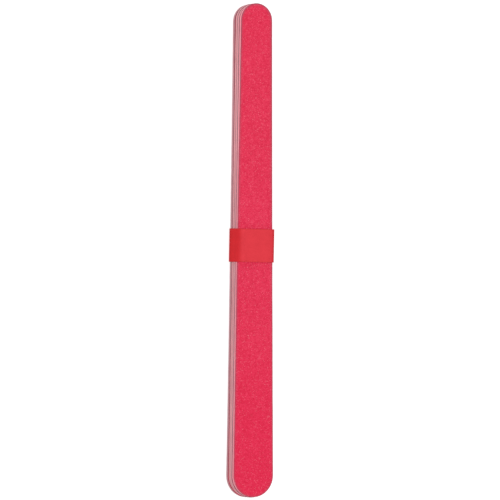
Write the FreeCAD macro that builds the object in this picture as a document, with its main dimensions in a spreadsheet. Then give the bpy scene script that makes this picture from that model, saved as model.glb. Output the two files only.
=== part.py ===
import FreeCAD, Part
import enum
import math
import os

import Sketcher

# A flat bundle of four tapered emery boards held by one folded paper band.
# It lies flat: +Z is up, +Y points at the narrow ends, and the origin is on the
# table under the middle of the bundle. Lengths are in millimetres, turns in degrees.

# Boards in the stack, from the table upwards.
BOARD_NAMES = ("bottom", "lower", "upper", "top")

# Gaps between them, in the same order.
BOARD_GAPS = ("outer_board_gap", "inner_board_gap", "outer_board_gap")

# Layers of one board, from its underside upwards.
LAYER_NAMES = ("fine_paper", "core", "coarse_paper")

SIZES = {
    # Outline of one die-cut board: two round ends joined by straight tapering sides.
    "board_length": 178.0,
    "narrow_end_width": 12.42,
    "wide_end_width": 15.78,
    # Layers of one board.
    "fine_paper_thickness": 0.2,
    "core_thickness": 0.82,
    "coarse_paper_thickness": 0.24,
    # Gaps between the boards where the band holds them: next to the top and bottom
    # boards, and between the two inner ones, which lie closer.
    "outer_board_gap": 0.3,
    "inner_board_gap": 0.1,
    # Warp of each board: how far its ends stand above its middle (negative: below).
    "bottom_board_end_lift": -0.62,
    "lower_board_end_lift": -0.05,
    "upper_board_end_lift": -0.05,
    "top_board_end_lift": 0.17,
    # How far each board is turned about the vertical.
    "bottom_board_turn": 0.07,
    "lower_board_turn": 0.04,
    "upper_board_turn": -0.02,
    "top_board_turn": -0.03,
    # How far each board has slipped along the bundle.
    "bottom_board_slip": -0.15,
    "lower_board_slip": 0.05,
    "upper_board_slip": -0.1,
    "top_board_slip": 0.1,
    # The paper band, its place along the bundle and how far it sits askew.
    "band_height": 12.0,
    "band_paper_thickness": 0.18,
    "band_offset": 1.8,
    "band_turn": -0.8,
    "band_bottom_crease_radius": 0.8,
    "band_top_crease_radius": 1.6,
    # Room between the band and the stack. The sides of the band lean, so it is
    # wider at the table than beside the top board.
    "band_side_clearance": 0.05,
    "band_side_spread": 0.03,
    "band_top_clearance": 1.71,
    "band_bottom_clearance": 0.67,
    # Glued lap on the underside: how far each end of the strip stops short of the
    # crease it runs towards. The paper lies double between the two ends.
    "band_inner_end_gap": 1.0,
    "band_outer_end_gap": 1.4,
    # Waste left round the outline when a layer is die-cut from its sheet.
    "sheet_margin": 4.0,
}


def cell(name):
    """Reference to one named size, for use in an expression."""
    return "sizes." + name


def write_sizes(doc):
    sheet = doc.addObject("Spreadsheet::Sheet", "sizes")
    for row, (name, value) in enumerate(SIZES.items(), start=1):
        sheet.set("A%d" % row, name)
        sheet.set("B%d" % row, str(value))
        sheet.setAlias("B%d" % row, name)
    doc.recompute()


# Formulas that several pieces share, as expression text.
HALF_LENGTH = "(%s / 2)" % cell("board_length")
NARROW_RADIUS = "(%s / 2)" % cell("narrow_end_width")
WIDE_RADIUS = "(%s / 2)" % cell("wide_end_width")
TAPER_SINE = "((%s - %s) / (2 * %s - %s - %s))" % (
    WIDE_RADIUS, NARROW_RADIUS, HALF_LENGTH, NARROW_RADIUS, WIDE_RADIUS)
BOARD_THICKNESS = "(%s)" % " + ".join(cell(layer + "_thickness") for layer in LAYER_NAMES)
BAND_PAPER = cell("band_paper_thickness")
LAP_THICKNESS = "(2 * %s)" % BAND_PAPER
STACK_FLOOR = "(%s + %s)" % (LAP_THICKNESS, cell("band_bottom_clearance"))


def board_base(board):
    """Height of a board's underside in the band, as expression text."""
    below = BOARD_NAMES.index(board)
    gaps = [cell(gap) for gap in BOARD_GAPS[:below]]
    return "(%s)" % " + ".join([STACK_FLOOR, "%d * %s" % (below, BOARD_THICKNESS)] + gaps)


STACK_TOP = "(%s + %s)" % (board_base(BOARD_NAMES[-1]), BOARD_THICKNESS)


def half_width_at(place):
    """Half the width of a board at a place along it, as expression text."""
    return "((%s + (%s - %s - (%s)) * %s) / sqrt(1 - %s ^ 2))" % (
        NARROW_RADIUS, HALF_LENGTH, NARROW_RADIUS, place, TAPER_SINE, TAPER_SINE)


def warp_radius(board):
    """Radius of a warped board's underside, as expression text: positive if its ends stand up."""
    lift = cell(board + "_board_end_lift")
    return "((%s ^ 2 + %s ^ 2) / (2 * %s))" % (HALF_LENGTH, lift, lift)


def layer_base(layer):
    """Height of a layer's underside above that of its board, as expression text."""
    below = LAYER_NAMES[:LAYER_NAMES.index(layer)]
    return "(%s)" % " + ".join(["0"] + [cell(name + "_thickness") for name in below])


class Axis(enum.IntEnum):
    """A sketch's own axes, as numbered in its constraints."""
    ACROSS = -1
    UP = -2


class Point(enum.IntEnum):
    """Points of a line or an arc, as numbered in a sketch's constraints."""
    START = 1
    END = 2
    CENTRE = 3


ORIGIN_POINT = (Axis.ACROSS, Point.START)


def new_sketch(body, name, role):
    """Sketch on one of the body's own origin planes."""
    sketch = body.newObject("Sketcher::SketchObject", name)
    plane = next(item for item in body.Origin.OriginFeatures if item.Role == role)
    sketch.AttachmentSupport = [(plane, "")]
    sketch.MapMode = "FlatFace"
    return sketch


def add_line(sketch, start, stop):
    return sketch.addGeometry(Part.LineSegment(FreeCAD.Vector(*start, 0), FreeCAD.Vector(*stop, 0)))


def add_arc(sketch, centre, radius, first_angle, last_angle):
    circle = Part.Circle(FreeCAD.Vector(*centre, 0), FreeCAD.Vector(0, 0, 1), radius)
    return sketch.addGeometry(Part.ArcOfCircle(circle, first_angle, last_angle))


def constrain(sketch, kind, *places):
    return sketch.addConstraint(Sketcher.Constraint(kind, *places))


def drive(sketch, kind, name, value, expression, *places):
    """Add one named dimension and bind it to an expression."""
    number = constrain(sketch, kind, *places, value)
    sketch.renameConstraint(number, name)
    sketch.setExpression("Constraints." + name, expression)


def add_loop(sketch, corners):
    """Closed loop of straight lines, each starting at its corner."""
    lines = [add_line(sketch, start, stop) for start, stop in zip(corners, corners[1:] + corners[:1])]
    for line, following in zip(lines, lines[1:] + lines[:1]):
        constrain(sketch, "Coincident", line, Point.END, following, Point.START)
    return lines


def value_of(doc, expression):
    """Present value of a formula."""
    return float(doc.getObject("sizes").evalExpression(expression.replace("sizes.", "")))


def draw_sheet_side(sketch, board, layer):
    """Side view of one layer before it is cut out: a strip between two arcs with one
    far centre, so that a warped layer keeps its thickness from end to end."""
    doc = sketch.Document
    centre_text = warp_radius(board)
    centre = value_of(doc, centre_text)
    reach_text = "(%s + %s)" % (HALF_LENGTH, cell("sheet_margin"))
    reach = value_of(doc, reach_text)
    # The strip is at the foot of its circle when the ends stand up, and at the head when they droop.
    side = -1 if centre > 0 else 1
    under_text = layer_base(layer)
    over_text = "(%s + %s)" % (under_text, cell(layer + "_thickness"))
    arcs = []
    for face, height_text in (("under", under_text), ("over", over_text)):
        radius_text = "abs(%s - %s)" % (centre_text, height_text)
        radius = value_of(doc, radius_text)
        middle = side * math.pi / 2
        swing = math.asin(reach / radius)
        arc = add_arc(sketch, (0, centre), radius, middle - swing, middle + swing)
        constrain(sketch, "PointOnObject", arc, Point.CENTRE, Axis.UP)
        drive(sketch, "DistanceY", face + "_centre", centre, centre_text, *ORIGIN_POINT, arc, Point.CENTRE)
        drive(sketch, "Radius", face + "_radius", radius, radius_text, arc)
        for end, sign in ((Point.START, side), (Point.END, -side)):
            drive(sketch, "DistanceX", "%s_end_%d" % (face, end), sign * reach,
                  "%d * %s" % (sign, reach_text), *ORIGIN_POINT, arc, end)
        arcs.append(arc)
    for end in (Point.START, Point.END):
        corners = [sketch.getPoint(arc, end) for arc in arcs]
        line = add_line(sketch, corners[0][:2], corners[1][:2])
        constrain(sketch, "Coincident", line, Point.START, arcs[0], end)
        constrain(sketch, "Coincident", line, Point.END, arcs[1], end)


def draw_waste(sketch):
    """Plan of the waste round a board: a rectangle with the outline of the board in it."""
    doc = sketch.Document
    margin = cell("sheet_margin")
    half_texts = ("(%s + 2 * %s)" % (WIDE_RADIUS, margin), "(%s + 2 * %s)" % (HALF_LENGTH, margin))
    across, along = (value_of(doc, text) for text in half_texts)
    frame = add_loop(sketch, [(-across, -along), (across, -along), (across, along), (-across, along)])
    for line, kind in zip(frame, ("Horizontal", "Vertical", "Horizontal", "Vertical")):
        constrain(sketch, kind, line)
    for line, sign, corner in ((frame[0], -1, "low"), (frame[2], 1, "high")):
        for kind, size, text in zip(("DistanceX", "DistanceY"), (across, along), half_texts):
            drive(sketch, kind, "waste_%s_%s" % (corner, kind), sign * size,
                  "%d * %s" % (sign, text), *ORIGIN_POINT, line, Point.START)

    narrow = value_of(doc, NARROW_RADIUS)
    wide = value_of(doc, WIDE_RADIUS)
    narrow_centre_text = "(%s - %s)" % (HALF_LENGTH, NARROW_RADIUS)
    wide_centre_text = "(%s - %s)" % (WIDE_RADIUS, HALF_LENGTH)
    narrow_centre = value_of(doc, narrow_centre_text)
    wide_centre = value_of(doc, wide_centre_text)
    lean = math.asin(value_of(doc, TAPER_SINE))
    narrow_arc = add_arc(sketch, (0, narrow_centre), narrow, lean, math.pi - lean)
    wide_arc = add_arc(sketch, (0, wide_centre), wide, math.pi - lean, 2 * math.pi + lean)
    touch = [(sign * math.cos(lean), math.sin(lean)) for sign in (-1, 1)]
    narrow_ends = [(narrow * x, narrow_centre + narrow * y) for x, y in touch]
    wide_ends = [(wide * x, wide_centre + wide * y) for x, y in touch]
    left = add_line(sketch, narrow_ends[0], wide_ends[0])
    right = add_line(sketch, wide_ends[1], narrow_ends[1])
    outline = (narrow_arc, left, wide_arc, right)
    for curve, following in zip(outline, outline[1:] + outline[:1]):
        constrain(sketch, "Tangent", curve, Point.END, following, Point.START)
    for arc in (narrow_arc, wide_arc):
        constrain(sketch, "PointOnObject", arc, Point.CENTRE, Axis.UP)
    drive(sketch, "Radius", "narrow_radius", narrow, NARROW_RADIUS, narrow_arc)
    drive(sketch, "Radius", "wide_radius", wide, WIDE_RADIUS, wide_arc)
    drive(sketch, "DistanceY", "narrow_centre", narrow_centre, narrow_centre_text,
          *ORIGIN_POINT, narrow_arc, Point.CENTRE)
    drive(sketch, "DistanceY", "wide_centre", wide_centre, wide_centre_text,
          *ORIGIN_POINT, wide_arc, Point.CENTRE)


def seat(body, along, height, turn):
    """Stand a body at its place: along the bundle, above the table, and turned about the vertical."""
    body.setExpression("Placement.Base.y", along)
    body.setExpression("Placement.Base.z", height)
    body.setExpression("Placement.Rotation.Angle", turn)


def make_layer(doc, board, layer):
    """One layer of one board: a strip of sheet padded across, then cut to the outline."""
    label = "%s_board_%s" % (board, layer)
    body = doc.addObject("PartDesign::Body", label)
    body.Label = label
    side = new_sketch(body, label + "_side", "YZ_Plane")
    draw_sheet_side(side, board, layer)
    strip = body.newObject("PartDesign::Pad", label + "_strip")
    strip.Profile = side
    strip.SideType = "Symmetric"
    strip.setExpression("Length", "%s + 2 * %s" % (cell("wide_end_width"), cell("sheet_margin")))
    doc.recompute()
    waste = new_sketch(body, label + "_waste", "XY_Plane")
    draw_waste(waste)
    cut = body.newObject("PartDesign::Pocket", label + "_cut")
    cut.Profile = waste
    cut.Type = "ThroughAll"
    cut.SideType = "Symmetric"
    doc.recompute()
    if not cut.Shape.Volume < strip.Shape.Volume:
        raise RuntimeError(label + " was not cut to its outline")
    seat(body, cell(board + "_board_slip"), board_base(board), cell(board + "_board_turn"))
    return body


def draw_band_section(sketch):
    """Section of the folded strip: a closed sleeve whose two ends lie over each other
    under the stack. The inner end lies on the outer one, so each makes one step."""
    doc = sketch.Document
    low_place = "%s - %s / 2" % (cell("band_offset"), cell("band_height"))
    askew = "%s / 2 * tan(abs(%s))" % (cell("band_height"), cell("band_turn"))
    shoulder_text = "(%s + %s + %s)" % (half_width_at(low_place), askew, cell("band_side_clearance"))
    foot_text = "(%s + %s)" % (shoulder_text, cell("band_side_spread"))
    # The lean of the sides goes on above the stack, up to the head of the band.
    head_text = "(%s - %s * %s / (%s - %s))" % (
        shoulder_text, cell("band_side_spread"), cell("band_top_clearance"), STACK_TOP, LAP_THICKNESS)
    ceiling_text = "(%s + %s)" % (STACK_TOP, cell("band_top_clearance"))
    roof_text = "(%s + %s)" % (ceiling_text, BAND_PAPER)
    inner_end_text = "(%s - %s - %s)" % (
        foot_text, cell("band_bottom_crease_radius"), cell("band_inner_end_gap"))
    outer_end_text = "(%s + %s - %s)" % (
        cell("band_bottom_crease_radius"), cell("band_outer_end_gap"), foot_text)
    paper, lap, head, foot, ceiling, roof, inner_end, outer_end = (
        value_of(doc, text) for text in (BAND_PAPER, LAP_THICKNESS, head_text, foot_text,
                                         ceiling_text, roof_text, inner_end_text, outer_end_text))

    inner_corners = [(foot, paper), (inner_end, paper), (inner_end, lap),
                     (-foot, lap), (-head, ceiling), (head, ceiling)]
    inner = add_loop(sketch, inner_corners)
    outer_corners = [(foot + paper, 0), (outer_end, 0), (outer_end, paper),
                     (-foot - paper, paper), (-head - paper, roof), (head + paper, roof)]
    outer = add_loop(sketch, outer_corners)
    for loop in (inner, outer):
        for line, kind in zip(loop, ("Horizontal", "Vertical", "Horizontal")):
            constrain(sketch, kind, line)
        constrain(sketch, "Horizontal", loop[4])

    inner_across = (foot_text, inner_end_text, None, "-" + foot_text, "-" + head_text, head_text)
    inner_up = (BAND_PAPER, None, LAP_THICKNESS, None, ceiling_text, None)
    outer_across = (None, outer_end_text, None, None, None, None)
    outer_up = (None, None, BAND_PAPER, None, roof_text, None)
    for name, loop, corners, across, up in (("inner", inner, inner_corners, inner_across, inner_up),
                                            ("outer", outer, outer_corners, outer_across, outer_up)):
        for place, line in enumerate(loop):
            for kind, texts, number in (("DistanceX", across, 0), ("DistanceY", up, 1)):
                if texts[place]:
                    drive(sketch, kind, "%s_%s_%d" % (name, kind, place), corners[place][number],
                          texts[place], *ORIGIN_POINT, line, Point.START)
    constrain(sketch, "PointOnObject", outer[0], Point.START, Axis.ACROSS)
    # The outside of each leaning wall is one paper thickness from its inside.
    for name, wall in (("left", 3), ("right", 5)):
        constrain(sketch, "Parallel", inner[wall], outer[wall])
        drive(sketch, "Distance", name + "_wall", paper, BAND_PAPER, inner[wall], Point.START, outer[wall])
    doc.recompute()
    creased = {"bottom": (0, 3), "top": (4, 5)}
    return [{end: [sketch.getPoint(loop[place], Point.START) for place in places]
             for end, places in creased.items()} for loop in (inner, outer)]


SAME_PLACE = 1e-4


def edges_along(shape, corners):
    """Names of the edges that run along the band through the given corners of its section."""
    names = []
    for number, edge in enumerate(shape.Edges, start=1):
        ends = [vertex.Point for vertex in edge.Vertexes]
        for corner in corners:
            if all(math.hypot(end.x - corner.x, end.z - corner.y) < SAME_PLACE for end in ends):
                names.append("Edge%d" % number)
    return names


def make_band(doc):
    """The paper band: its section padded along the bundle, then the creases rounded."""
    body = doc.addObject("PartDesign::Body", "paper_band")
    body.Label = "paper_band"
    section = new_sketch(body, "band_section", "XZ_Plane")
    inner_corners, outer_corners = draw_band_section(section)
    sleeve = body.newObject("PartDesign::Pad", "band_sleeve")
    sleeve.Profile = section
    sleeve.SideType = "Symmetric"
    sleeve.setExpression("Length", cell("band_height"))
    doc.recompute()
    base = sleeve
    for side, corners, extra in (("outer", outer_corners, " + " + BAND_PAPER), ("inner", inner_corners, "")):
        for end in ("bottom", "top"):
            crease = body.newObject("PartDesign::Fillet", "band_%s_%s_creases" % (side, end))
            crease.Base = (base, edges_along(base.Shape, corners[end]))
            crease.setExpression("Radius", cell("band_%s_crease_radius" % end) + extra)
            doc.recompute()
            base = crease
    seat(body, cell("band_offset"), "0", cell("band_turn"))
    return body


def check_document(doc, bodies):
    for item in doc.Objects:
        if "Invalid" in item.State or "Error" in item.State:
            raise RuntimeError("%s failed: %s" % (item.Label, item.State))
    for body in bodies:
        if body.Shape.isNull() or not body.Shape.isValid() or len(body.Shape.Solids) != 1:
            raise RuntimeError(body.Label + " is not one valid solid")


def main():
    doc = FreeCAD.newDocument("emery_board_bundle")
    write_sizes(doc)
    bodies = [make_layer(doc, board, layer) for board in BOARD_NAMES for layer in LAYER_NAMES]
    bodies.append(make_band(doc))
    doc.recompute()
    check_document(doc, bodies)
    os.makedirs("parts", exist_ok=True)
    for body in bodies:
        body.Shape.exportStep(os.path.join("parts", body.Label + ".step"))


main()
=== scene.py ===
import math

import bpy
from mathutils import Matrix, Vector, noise


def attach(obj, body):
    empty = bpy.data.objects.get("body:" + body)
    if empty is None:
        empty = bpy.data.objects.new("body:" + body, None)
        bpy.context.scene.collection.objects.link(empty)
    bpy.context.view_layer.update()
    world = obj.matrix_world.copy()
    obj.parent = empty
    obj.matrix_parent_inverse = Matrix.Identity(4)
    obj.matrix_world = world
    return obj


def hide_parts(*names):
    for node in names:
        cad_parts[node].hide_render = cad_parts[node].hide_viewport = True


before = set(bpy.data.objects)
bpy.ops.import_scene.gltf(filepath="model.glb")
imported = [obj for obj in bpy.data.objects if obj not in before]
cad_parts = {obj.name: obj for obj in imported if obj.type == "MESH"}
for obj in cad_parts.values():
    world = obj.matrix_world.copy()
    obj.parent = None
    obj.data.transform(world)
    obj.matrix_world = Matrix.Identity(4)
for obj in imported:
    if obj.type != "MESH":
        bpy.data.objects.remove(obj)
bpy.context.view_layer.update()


# The cores: one blank of pressed card in each of the four boards. A blank is built up
# of four plies and die-cut to a tapered outline with two round ends. The knife leaves
# a slightly wavy edge, with a fine groove where two plies meet.
MM = 0.001
BOARD_LENGTH = 178.0
NARROW_RADIUS = 6.21
WIDE_RADIUS = 7.89
FINE_PAPER_THICKNESS = 0.2
CORE_THICKNESS = 0.82
COARSE_PAPER_THICKNESS = 0.24
CORE_BASE = FINE_PAPER_THICKNESS
CORE_TOP = CORE_BASE + CORE_THICKNESS
BOARD_THICKNESS = CORE_TOP + COARSE_PAPER_THICKNESS

# Each board's place: height of its underside in the band, how far its ends stand above
# its middle, its turn in degrees and its slip along the bundle. The covered boards get
# more painted shade along their rims, and the card tint is painted shade, pink in the
# top board and greyer and darker in the lower ones.
BOARDS = {
    "bottom": {"seat": 1.03, "end_lift": -0.62, "turn": 0.07, "slip": -0.15,
               "rim_shade": 1.1, "card_shade": (0.74, 0.79, 0.81)},
    "lower": {"seat": 2.59, "end_lift": -0.05, "turn": 0.04, "slip": 0.05,
              "rim_shade": 1.2, "card_shade": (1.0, 0.99, 0.99)},
    "upper": {"seat": 3.95, "end_lift": -0.05, "turn": -0.02, "slip": -0.10,
              "rim_shade": 2.0, "card_shade": (1.02, 0.97, 0.99)},
    "top": {"seat": 5.51, "end_lift": 0.17, "turn": -0.03, "slip": 0.10,
            "rim_shade": 1.0, "card_shade": (1.16, 0.91, 0.99)},
}


def knife_line(end_steps=20, side_steps=88):
    """Points of the die's knife with their outward directions, from the narrow tip down
    the left side to the wide tip and back up the right side."""
    narrow_centre = BOARD_LENGTH / 2 - NARROW_RADIUS
    wide_centre = WIDE_RADIUS - BOARD_LENGTH / 2
    lean = math.asin((WIDE_RADIUS - NARROW_RADIUS) / (narrow_centre - wide_centre))
    narrow_tip, shoulder, wide_tip = 0.5 * math.pi, math.pi - lean, 1.5 * math.pi

    def round_end(centre, radius, start, stop):
        angles = [start + (stop - start) * k / end_steps for k in range(end_steps + 1)]
        directions = [Vector((math.cos(angle), math.sin(angle))) for angle in angles]
        return [(Vector((0, centre)) + radius * outward, outward) for outward in directions]

    narrow_end = round_end(narrow_centre, NARROW_RADIUS, narrow_tip, shoulder)
    wide_end = round_end(wide_centre, WIDE_RADIUS, shoulder, wide_tip)
    start, outward = narrow_end[-1]
    stop = wide_end[0][0]
    side = [(start.lerp(stop, k / side_steps), outward) for k in range(1, side_steps)]
    left = narrow_end + side + wide_end
    right = [(Vector((-p.x, p.y)), Vector((-n.x, n.y))) for p, n in reversed(left[1:-1])]
    return left + right


KNIFE_LINE = knife_line()
WAVES_PER_MM = 0.35
SHARP_CORNER = math.radians(40)

# The cut edges are a little lighter towards the narrow ends, from so far up the board.
CARD_TONE = 0.94
NARROW_END_LIFT = 0.13
NARROW_END_FROM = 15
NARROW_END_OVER = 35


def cut_layer(name, board, profile, materials, waviness, seed):
    """One die-cut layer of a board. The profile goes round the cut edge from underside to
    face, as (inset, height, material of the strip up to the next point, rim value)."""
    place = BOARDS[board]
    turn = Matrix.Rotation(math.radians(place["turn"]), 4, "Z")
    seat = Matrix.Translation((0, place["slip"], place["seat"])) @ turn
    points, rim, card_shade = [], [], []
    for inset, height, _, edge in profile:
        for p, outward in KNIFE_LINE:
            spot = Vector((p.x * WAVES_PER_MM, p.y * WAVES_PER_MM, seed + height))
            wave = min(max(0.5 + noise.noise(spot), 0.0), 1.0)
            x, y = p - outward * (inset + waviness * edge * wave)
            z = height + place["end_lift"] * (2 * y / BOARD_LENGTH) ** 2
            points.append(seat @ Vector((x, y, z)) * MM)
            # The rim value is scaled by each board's share of painted rim shade.
            rim.append(edge * place["rim_shade"])
            # The cut edges get lighter towards the narrow end.
            toward_narrow_end = min(max((y - NARROW_END_FROM) / NARROW_END_OVER, 0.0), 1.0)
            # Each board's card tint is painted shade, darker and greyer in the lower boards.
            card_shade += [part * (CARD_TONE + NARROW_END_LIFT * toward_narrow_end) for part in place["card_shade"]]
    count = len(KNIFE_LINE)
    faces, finishes = [], []
    for ring in range(len(profile) - 1):
        for i in range(count):
            a = ring * count + i
            b = ring * count + (i + 1) % count
            faces.append((a, a + count, b + count, b))
            finishes.append(profile[ring][2])
    # The two flat faces are closed by strips across the board.
    half = count // 2
    strips = [(0, 1, count - 1), (half, half + 1, half - 1)]
    strips += [(i, i + 1, count - i - 1, count - i) for i in range(1, half - 1)]
    last_ring = len(points) - count
    for first, finish, upward in ((0, profile[0][2], False), (last_ring, profile[-1][2], True)):
        for strip in strips:
            corners = [first + i for i in strip]
            faces.append(tuple(corners if upward else reversed(corners)))
            finishes.append(finish)
    mesh = bpy.data.meshes.new(name)
    mesh.from_pydata(points, [], faces)
    for finish in materials:
        mesh.materials.append(finish)
    mesh.polygons.foreach_set("material_index", finishes)
    mesh.polygons.foreach_set("use_smooth", [True] * len(faces))
    mesh.set_sharp_from_angle(angle=SHARP_CORNER)
    mesh.attributes.new("rim", "FLOAT", "POINT").data.foreach_set("value", rim)
    mesh.attributes.new("card_shade", "FLOAT_VECTOR", "POINT").data.foreach_set("vector", card_shade)
    mesh.validate()
    layer = bpy.data.objects.new(name, mesh)
    bpy.context.scene.collection.objects.link(layer)
    return layer


def new_finish(name):
    """A material with its node tree and its surface shader."""
    finish = bpy.data.materials.new(name)
    finish.use_nodes = True
    return finish, finish.node_tree, finish.node_tree.nodes["Principled BSDF"]


def node(tree, kind, settings=None, **inputs):
    """One node of a material. An input is a value or another node's output, and is given
    by its name, or by its number as in i0."""
    made = tree.nodes.new(kind)
    for key, value in (settings or {}).items():
        setattr(made, key, value)
    for key, value in inputs.items():
        numbered = key[0] == "i" and key[1:].isdigit()
        socket = made.inputs[int(key[1:]) if numbered else key]
        if isinstance(value, bpy.types.NodeSocket):
            tree.links.new(value, socket)
        else:
            socket.default_value = value
    return made


def place_in_piece(tree):
    """Where a point is in its piece, in metres."""
    return node(tree, "ShaderNodeTexCoord").outputs["Object"]


def attribute(tree, name, output="Fac"):
    """A value that the mesh carries at its points."""
    return node(tree, "ShaderNodeAttribute", {"attribute_name": name}).outputs[output]


def speckle(tree, where, scale, detail=2.0, roughness=0.5):
    """Soft blotches, about as many to the metre as the scale says."""
    made = node(tree, "ShaderNodeTexNoise", Vector=where, Scale=scale,
                Detail=detail, Roughness=roughness)
    return made.outputs["Fac"]


def sum_of(tree, *parts):
    """Weighted sum of (output, weight) pairs."""
    total = 0.0
    for output, weight in parts:
        step = node(tree, "ShaderNodeMath", {"operation": "MULTIPLY_ADD"},
                    i0=output, i1=weight, i2=total)
        total = step.outputs[0]
    return total


def tones(tree, value, *stops):
    """Colour ramp through (position, linear colour) stops."""
    ramp = node(tree, "ShaderNodeValToRGB", Fac=value)
    ramp.color_ramp.elements.remove(ramp.color_ramp.elements[1])
    ramp.color_ramp.elements[0].position = stops[0][0]
    ramp.color_ramp.elements[0].color = (*stops[0][1], 1)
    for position, colour in stops[1:]:
        ramp.color_ramp.elements.new(position).color = (*colour, 1)
    return ramp.outputs["Color"]


def mixed(tree, amount, colour, other, way="MIX"):
    """A colour with some of another mixed in, or multiplied by it."""
    mix = node(tree, "ShaderNodeMix", {"data_type": "RGBA", "blend_type": way},
               i0=amount, i6=colour, i7=other)
    return mix.outputs[2]


def with_card_shade(tree, colour):
    """A colour times the card tint of each board, which is painted shade."""
    return mixed(tree, 1.0, colour, attribute(tree, "card_shade", "Vector"), "MULTIPLY")


def relief(tree, shader, height, depth, strength):
    """Fine ups and downs of a surface, with their depth in metres."""
    bump = node(tree, "ShaderNodeBump", Height=height, Distance=depth, Strength=strength)
    tree.links.new(bump.outputs["Normal"], shader.inputs["Normal"])


DARK_CARD = (0.56, 0.250, 0.270)
PLAIN_CARD = (0.78, 0.38, 0.40)
PALE_CARD = (0.88, 0.50, 0.51)
PLY_STREAKS = (220, 220, 7000)

core_card, tree, shader = new_finish("core_card")
where = place_in_piece(tree)
streaked = node(tree, "ShaderNodeVectorMath", {"operation": "MULTIPLY"}, i0=where, i1=PLY_STREAKS)
plies = speckle(tree, streaked.outputs[0], 1.0, detail=3.0)
fibres = speckle(tree, where, 5200, detail=4.0, roughness=0.65)
stain = speckle(tree, where, 210, detail=2.0)
tone = sum_of(tree, (plies, 0.5), (fibres, 0.3), (stain, 0.2))
tone = tones(tree, tone, (0.30, DARK_CARD), (0.5, PLAIN_CARD), (0.7, PALE_CARD))
# The card tone times each board's painted shade.
tree.links.new(with_card_shade(tree, tone), shader.inputs["Base Color"])
shader.inputs["Roughness"].default_value = 0.9
shader.inputs["Specular IOR Level"].default_value = 0.2
relief(tree, shader, sum_of(tree, (fibres, 0.7), (plies, 0.6)), 0.00006, 0.6)

PLY_COUNT = 4
GLUED_FACE_INSET = 0.5
CORE_CORNER_INSET = 0.03
PLY_INSET = 0.012
GROOVE_INSET = 0.05
GROOVE_HALF_HEIGHT = 0.03
CORE_WAVINESS = 0.05
SEED_STEP = 10.0

core_edge = [(GLUED_FACE_INSET, CORE_BASE, 0, 0.0), (CORE_CORNER_INSET, CORE_BASE, 0, 1.0)]
for ply in range(PLY_COUNT):
    low = CORE_BASE + CORE_THICKNESS * ply / PLY_COUNT
    high = CORE_BASE + CORE_THICKNESS * (ply + 1) / PLY_COUNT
    core_edge.append((PLY_INSET, low + GROOVE_HALF_HEIGHT, 0, 1.0))
    core_edge.append((PLY_INSET, high - GROOVE_HALF_HEIGHT, 0, 1.0))
    if ply < PLY_COUNT - 1:
        core_edge.append((GROOVE_INSET, high, 0, 1.0))
core_edge += [(CORE_CORNER_INSET, CORE_TOP, 0, 1.0), (GLUED_FACE_INSET, CORE_TOP, 0, 0.0)]

for number, board in enumerate(BOARDS):
    name = board + "_board_blank"
    seed = SEED_STEP * number
    blank = cut_layer(name, board, core_edge, [core_card], CORE_WAVINESS, seed)
    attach(blank, board + "_board")
    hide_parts(board + "_board_core")


# The coarse faces: red grit bonded to thin paper, glued to the top of each blank before
# the board is cut out. The grains stand proud and a few carry a painted glint. A painted
# sheen makes the red paler towards the narrow end, so it is deeper at the wide end.
# Painted shade darkens the rim, more on the covered boards and towards the narrow end,
# and the knife bares the paper's pale edge under the grit.
DEEP_GRIT = (0.632, 0.0123, 0.0515)
RED_GRIT = (0.767, 0.0247, 0.0773)
BRIGHT_GRIT = (0.89, 0.0683, 0.139)
SHEEN_FADE_TINT = (0.99, 0.67, 0.87, 1)
PAINTED_GLINT = (0.97, 0.30, 0.38, 1)
RIM_SHADE_GRIT = (0.19, 0.10, 0.13, 1)
COARSE_GRAINS_PER_METRE = 5200
BOARD_END = 0.089
SHEEN_FADE_STRETCH = (-0.065, -0.01)
RIM_SHADE_AT_WIDE_END = 0.9
RIM_SHADE_AT_NARROW_END = 1.4


def range_of(tree, value, low, high, new_low, new_high):
    """A value taken from one range to another, and held at its ends."""
    made = node(tree, "ShaderNodeMapRange", i0=value, i1=low, i2=high, i3=new_low, i4=new_high)
    return made.outputs[0]


def product_of(tree, first, second):
    """One value times another."""
    return node(tree, "ShaderNodeMath", {"operation": "MULTIPLY"}, i0=first, i1=second).outputs[0]


coarse_grit, tree, shader = new_finish("coarse_grit")
where = place_in_piece(tree)
grains = node(tree, "ShaderNodeTexVoronoi", Vector=where, Scale=COARSE_GRAINS_PER_METRE)
grain = node(tree, "ShaderNodeSeparateColor", Color=grains.outputs["Color"])
clumps = speckle(tree, where, 1150, detail=3.0, roughness=0.6)
drifts = speckle(tree, where, 430, detail=1.0)
coat = speckle(tree, where, 95, detail=2.0)
along = node(tree, "ShaderNodeSeparateXYZ", Vector=where).outputs["Y"]
tone = sum_of(tree, (grain.outputs["Red"], 0.31), (clumps, 0.42), (drifts, 0.16), (coat, 0.11))
tone = tones(tree, tone, (0.26, DEEP_GRIT), (0.5, RED_GRIT), (0.76, BRIGHT_GRIT))
# Painted sheen: the red is left paler towards the narrow end and made deeper at the wide end.
sheen_fade = range_of(tree, along, *SHEEN_FADE_STRETCH, 1.0, 0.0)
tone = mixed(tree, sheen_fade, tone, SHEEN_FADE_TINT, "MULTIPLY")
# A few grains carry a painted glint, a lighter colour standing for their sparkle; they are also
# smoother.
painted_glint = range_of(tree, grain.outputs["Green"], 0.95, 0.97, 0.0, 0.35)
tone = mixed(tree, painted_glint, tone, PAINTED_GLINT)
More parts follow.
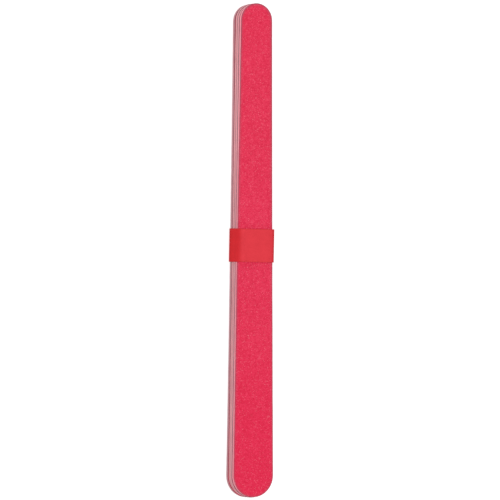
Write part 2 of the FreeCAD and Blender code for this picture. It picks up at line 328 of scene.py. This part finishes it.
# Painted shade along the rim, stronger on the covered boards and towards the narrow end.
rim_shade_along = range_of(tree, along, -BOARD_END, BOARD_END, RIM_SHADE_AT_WIDE_END, RIM_SHADE_AT_NARROW_END)
rim_shade_amount = product_of(tree, attribute(tree, "rim"), range_of(tree, clumps, 0.3, 0.55, 0.6, 0.95))
rim_shade_amount = product_of(tree, rim_shade_amount, rim_shade_along)
tone = mixed(tree, rim_shade_amount, tone, RIM_SHADE_GRIT)
tree.links.new(tone, shader.inputs["Base Color"])
tree.links.new(range_of(tree, grain.outputs["Green"], 0.9, 0.97, 0.82, 0.38), shader.inputs["Roughness"])
shader.inputs["Specular IOR Level"].default_value = 0.25
mound = range_of(tree, grains.outputs["Distance"], 0.0, 0.7, 1.0, 0.0)
bumps = sum_of(tree, (mound, 0.6), (grain.outputs["Blue"], 0.3), (clumps, 0.6))
relief(tree, shader, bumps, 0.00007, 0.55)

DARK_BACKING = (0.76, 0.30, 0.34)
PALE_BACKING = (0.92, 0.44, 0.47)

backing, tree, shader = new_finish("paper_backing")
fluff = speckle(tree, place_in_piece(tree), 6400, detail=4.0, roughness=0.6)
tone = tones(tree, fluff, (0.3, DARK_BACKING), (0.7, PALE_BACKING))
# The backing tone times each board's painted shade.
tree.links.new(with_card_shade(tree, tone), shader.inputs["Base Color"])
shader.inputs["Roughness"].default_value = 0.92
shader.inputs["Specular IOR Level"].default_value = 0.2
relief(tree, shader, fluff, 0.00004, 0.5)

GRIT_DEPTH = 0.035
ROUNDED_RIM = 0.012
PAPER_WAVINESS = 0.04
COARSE_SEED = 3

coarse_edge = [
    (GLUED_FACE_INSET, CORE_TOP, 1, 0.0),
    (0.02, CORE_TOP, 1, 1.0),
    (0.005, BOARD_THICKNESS - GRIT_DEPTH, 0, 1.0),
    (0.02, BOARD_THICKNESS - ROUNDED_RIM, 0, 1.0),
    (0.05, BOARD_THICKNESS, 0, 0.75),
    (0.15, BOARD_THICKNESS, 0, 0.5),
    (0.35, BOARD_THICKNESS, 0, 0.3),
    (0.7, BOARD_THICKNESS, 0, 0.13),
    (1.3, BOARD_THICKNESS, 0, 0.0),
]
for number, board in enumerate(BOARDS):
    name = board + "_board_coarse_face"
    seed = SEED_STEP * number + COARSE_SEED
    face = cut_layer(name, board, coarse_edge, [coarse_grit, backing], PAPER_WAVINESS, seed)
    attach(face, board + "_board")
    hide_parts(board + "_board_coarse_paper")


# The fine faces: paler, finer grit on the same thin paper, glued to the underside of
# each blank and cut out with it.
DEEP_PINK = (0.68, 0.20, 0.26)
PINK = (0.80, 0.29, 0.35)
PALE_PINK = (0.89, 0.42, 0.47)
FINE_GRAINS_PER_METRE = 9000

fine_grit, tree, shader = new_finish("fine_grit")
where = place_in_piece(tree)
grains = node(tree, "ShaderNodeTexVoronoi", Vector=where, Scale=FINE_GRAINS_PER_METRE)
grain = node(tree, "ShaderNodeSeparateColor", Color=grains.outputs["Color"])
clumps = speckle(tree, where, 1500, detail=3.0, roughness=0.6)
coat = speckle(tree, where, 110, detail=2.0)
tone = sum_of(tree, (grain.outputs["Red"], 0.3), (clumps, 0.5), (coat, 0.2))
tone = tones(tree, tone, (0.28, DEEP_PINK), (0.5, PINK), (0.74, PALE_PINK))
tree.links.new(tone, shader.inputs["Base Color"])
tree.links.new(range_of(tree, grain.outputs["Green"], 0.9, 0.97, 0.85, 0.5), shader.inputs["Roughness"])
shader.inputs["Specular IOR Level"].default_value = 0.3
mound = range_of(tree, grains.outputs["Distance"], 0.0, 0.7, 1.0, 0.0)
relief(tree, shader, sum_of(tree, (mound, 0.7), (clumps, 0.4)), 0.00004, 0.5)

FINE_GRIT_DEPTH = 0.05
FINE_SEED = 6

fine_edge = [
    (0.8, 0.0, 0, 0.0),
    (0.35, 0.0, 0, 0.25),
    (0.1, 0.0, 0, 0.9),
    (0.03, ROUNDED_RIM, 0, 1.0),
    (0.0, FINE_GRIT_DEPTH, 1, 1.0),
    (0.02, CORE_BASE, 1, 1.0),
    (GLUED_FACE_INSET, CORE_BASE, 1, 0.0),
]
for number, board in enumerate(BOARDS):
    name = board + "_board_fine_face"
    seed = SEED_STEP * number + FINE_SEED
    face = cut_layer(name, board, fine_edge, [fine_grit, backing], PAPER_WAVINESS, seed)
    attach(face, board + "_board")
    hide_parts(board + "_board_fine_paper")


# The band: one strip of red printed paper, folded round the stack over four soft
# creases, with its ends lapped and glued underneath. Its two side panels are a deeper
# red from painted shade, its creases and the foot of its sides are darkened by painted
# shade, and its back is bare.
BAND_HEIGHT = 12.0
BAND_PAPER = 0.18
BAND_OFFSET = 1.8
BAND_TURN = -0.8
BOTTOM_CREASE_RADIUS = 0.89
TOP_CREASE_RADIUS = 1.69
HEAD_HALF_WIDTH = 7.318
FOOT_HALF_WIDTH = 7.356
ROOF = 8.569
OUTER_END = -5.066
INNER_END = 5.466
LAP_GLUE = 0.004
PANEL_STEP = 0.6
CREASE_STEPS = 8
LAP_STEPS = 14
BAND_ROWS = 25

FULL_SHADE_HEIGHT = 0.45
SHADE_FADE_HEIGHT = 3.2
SHADE_FADE_POWER = 1.4
TOP_CREASE_SHADE = 0.53
SIDE_SHADE_LIMIT = 0.95
SIDE_SHADE_FADE = 0.5


def painted_shade_at(height):
    """How much painted shade the print gets at a height on the side panels."""
    return min(1.0, max(0.0, 1 - (height - FULL_SHADE_HEIGHT) / SHADE_FADE_HEIGHT)) ** SHADE_FADE_POWER


def strip_path():
    """Middle line of the strip in section, as (across, up, painted crease shade, painted
    side panel shade), from the outer end of the lap round the stack to the inner end."""
    floor = BAND_PAPER / 2
    lap = BAND_PAPER * 1.5 + LAP_GLUE
    corners = [Vector(c) for c in (
        (OUTER_END, floor), (FOOT_HALF_WIDTH, floor), (HEAD_HALF_WIDTH, ROOF),
        (-HEAD_HALF_WIDTH, ROOF), (-FOOT_HALF_WIDTH, lap), (INNER_END, lap))]
    path = []
    start = corners[0]
    for before, corner, after in zip(corners, corners[1:], corners[2:]):
        come = (corner - before).normalized()
        go = (after - corner).normalized()
        turn = come.angle(go)
        at_top = corner.y > ROOF / 2
        radius = TOP_CREASE_RADIUS if at_top else BOTTOM_CREASE_RADIUS
        reach = radius * math.tan(turn / 2)
        stop = corner - come * reach
        steps = max(2, round((stop - start).length / PANEL_STEP))
        on_side = 1.0 if abs(come.y) > 0.5 else 0.0
        for k in range(1 if path else 0, steps):
            spot = start.lerp(stop, k / steps)
            path.append((*spot, on_side * painted_shade_at(spot.y), on_side))
        inward = Vector((-come.y, come.x))
        centre = stop + inward * radius
        for k in range(CREASE_STEPS + 1):
            bent = k / CREASE_STEPS
            angle = turn * bent
            spot = centre - inward * radius * math.cos(angle) + come * radius * math.sin(angle)
            past_side = bent if on_side else 1 - bent
            # The creases carry painted shade: the top ones most at their middle, the bottom ones as the
            # foot of the sides.
            if at_top:
                crease_shade_here = TOP_CREASE_SHADE * math.sin(math.pi * bent)
            else:
                crease_shade_here = painted_shade_at(spot.y) * min(1.0, 2 - 2 * past_side)
            # How much of the side panels' painted shade this point of the crease carries.
            side_shade = min(1.0, max(0.0, (SIDE_SHADE_LIMIT - past_side) / SIDE_SHADE_FADE))
            path.append((*spot, crease_shade_here, side_shade))
        start = corner + go * reach
    path += [(*start.lerp(corners[-1], k / LAP_STEPS), 0.0, 0.0) for k in range(1, LAP_STEPS + 1)]
    return path


DARK_PRINT = (0.69, 0.043, 0.058)
RED_PRINT = (0.747, 0.048, 0.0645)
BRIGHT_PRINT = (0.80, 0.054, 0.072)
SIDE_PANEL_SHADE_TINT = (1.0, 0.63, 0.60, 1)
PAINTED_SHADE_TINT = (0.72, 0.86, 0.88, 1)

band_print, tree, shader = new_finish("band_print")
where = place_in_piece(tree)
ink = speckle(tree, where, 2600, detail=3.0)
press = speckle(tree, where, 260, detail=2.0)
tone = sum_of(tree, (ink, 0.5), (press, 0.5))
tone = tones(tree, tone, (0.3, DARK_PRINT), (0.5, RED_PRINT), (0.7, BRIGHT_PRINT))
# The side panels carry painted shade that makes their red deeper.
tone = mixed(tree, attribute(tree, "side"), tone, SIDE_PANEL_SHADE_TINT, "MULTIPLY")
# Painted shade on the creases and at the foot of the side panels.
crease_shading = product_of(tree, attribute(tree, "crease_shade"), range_of(tree, ink, 0.3, 0.7, 1.0, 0.7))
tone = mixed(tree, crease_shading, tone, PAINTED_SHADE_TINT, "MULTIPLY")
tree.links.new(tone, shader.inputs["Base Color"])
tree.links.new(range_of(tree, press, 0.3, 0.7, 0.46, 0.58), shader.inputs["Roughness"])
shader.inputs["Specular IOR Level"].default_value = 0.004
relief(tree, shader, sum_of(tree, (ink, 0.4), (press, 1.0)), 0.00003, 0.35)

DARK_BARE_PAPER = (0.70, 0.56, 0.54)
PALE_BARE_PAPER = (0.86, 0.78, 0.75)

band_bare, tree, shader = new_finish("band_bare")
fluff = speckle(tree, place_in_piece(tree), 5200, detail=4.0, roughness=0.6)
tone = tones(tree, fluff, (0.3, DARK_BARE_PAPER), (0.7, PALE_BARE_PAPER))
tree.links.new(tone, shader.inputs["Base Color"])
shader.inputs["Roughness"].default_value = 0.9
shader.inputs["Specular IOR Level"].default_value = 0.2
relief(tree, shader, fluff, 0.00003, 0.4)

path = strip_path()
width = len(path)
seat = Matrix.Translation((0, BAND_OFFSET, 0)) @ Matrix.Rotation(math.radians(BAND_TURN), 4, "Z")
points, crease_shades, side_shades = [], [], []
for row in range(BAND_ROWS):
    along = BAND_HEIGHT * (row / (BAND_ROWS - 1) - 0.5)
    for across, up, shade_value, on_side in path:
        points.append(seat @ Vector((across, along, up)) * MM)
        crease_shades.append(shade_value)
        side_shades.append(on_side)
faces = [(r * width + k, (r + 1) * width + k, (r + 1) * width + k + 1, r * width + k + 1)
         for r in range(BAND_ROWS - 1) for k in range(width - 1)]
mesh = bpy.data.meshes.new("band_strip")
mesh.from_pydata(points, [], faces)
mesh.materials.append(band_print)
mesh.materials.append(band_bare)
mesh.polygons.foreach_set("use_smooth", [True] * len(faces))
# Painted shade of the creases and the foot of the sides.
mesh.attributes.new("crease_shade", "FLOAT", "POINT").data.foreach_set("value", crease_shades)
# Painted shade of the side panels.
mesh.attributes.new("side", "FLOAT", "POINT").data.foreach_set("value", side_shades)
band = bpy.data.objects.new("band_strip", mesh)
bpy.context.scene.collection.objects.link(band)
paper = band.modifiers.new("paper", "SOLIDIFY")
paper.thickness = BAND_PAPER * MM
paper.offset = 0.0
paper.material_offset = 1
paper.material_offset_rim = 1
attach(band, "band")
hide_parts("paper_band")


# The studio: a white table that keeps a soft shadow, even white light from all round,
# one lamp above and to the left, and a long lens looking down on the bundle from its left.
TABLE_HALF_SIZE = 6
TABLE_HEIGHT = -0.00002
TABLE_GLOW = 0.28


def seen_white(tree):
    """One where the studio is seen, by the camera, in a gloss or through glass, and nought
    where it lights the bundle."""
    ray = node(tree, "ShaderNodeLightPath")
    seen = ray.outputs["Is Camera Ray"]
    for kind in ("Is Glossy Ray", "Is Transmission Ray"):
        either = node(tree, "ShaderNodeMath", {"operation": "MAXIMUM"}, i0=seen, i1=ray.outputs[kind])
        seen = either.outputs[0]
    return seen


table_white, tree, shader = new_finish("table_white")
shader.inputs["Base Color"].default_value = (0.9, 0.9, 0.9, 1)
shader.inputs["Roughness"].default_value = 0.9
shader.inputs["Specular IOR Level"].default_value = 0.0
shader.inputs["Emission Color"].default_value = (1, 1, 1, 1)
glow = product_of(tree, seen_white(tree), TABLE_GLOW)
tree.links.new(glow, shader.inputs["Emission Strength"])
mesh = bpy.data.meshes.new("table")
corners = [(x * TABLE_HALF_SIZE, y * TABLE_HALF_SIZE, TABLE_HEIGHT)
           for x, y in ((-1, -1), (1, -1), (1, 1), (-1, 1))]
mesh.from_pydata(corners, [], [(0, 1, 2, 3)])
mesh.materials.append(table_white)
table = bpy.data.objects.new("table", mesh)
bpy.context.scene.collection.objects.link(table)

SURROUND_LIGHT = 0.42
SHOWN_WHITE = 1.0

world = bpy.data.worlds.new("studio")
bpy.context.scene.world = world
world.use_nodes = True
tree = world.node_tree
sky = tree.nodes["Background"]
sky.inputs["Color"].default_value = (1, 1, 1, 1)
light = range_of(tree, seen_white(tree), 0.0, 1.0, SURROUND_LIGHT, SHOWN_WHITE)
tree.links.new(light, sky.inputs["Strength"])

LAMP_STRENGTH = 0.6
LAMP_SPREAD = 8
LAMP_LEAN = -16

lamp = bpy.data.lights.new("overhead_lamp", "SUN")
lamp.energy = LAMP_STRENGTH * math.pi
lamp.angle = math.radians(LAMP_SPREAD)
overhead = bpy.data.objects.new("overhead_lamp", lamp)
overhead.rotation_euler = (0, math.radians(LAMP_LEAN), 0)
bpy.context.scene.collection.objects.link(overhead)

CAMERA_LEAN = -25.32
CAMERA_ROLL = 0.393
CAMERA_DISTANCE = 1.5037
AIM_HEIGHT = 0.0036
AIM_SHIFT = (-0.000385, 0.000182, 0)

lens = bpy.data.cameras.new("camera")
lens.lens = 300
lens.sensor_width = 36
camera = bpy.data.objects.new("camera", lens)
camera.rotation_mode = "ZXY"
camera.rotation_euler = (0, math.radians(CAMERA_LEAN), math.radians(CAMERA_ROLL))
turn = camera.rotation_euler.to_matrix()
middle = Vector((0, 0, AIM_HEIGHT)) + turn @ Vector(AIM_SHIFT)
camera.location = middle + turn @ Vector((0, 0, CAMERA_DISTANCE))
bpy.context.scene.collection.objects.link(camera)
bpy.context.scene.camera = camera
bpy.context.scene.view_settings.view_transform = "Standard"
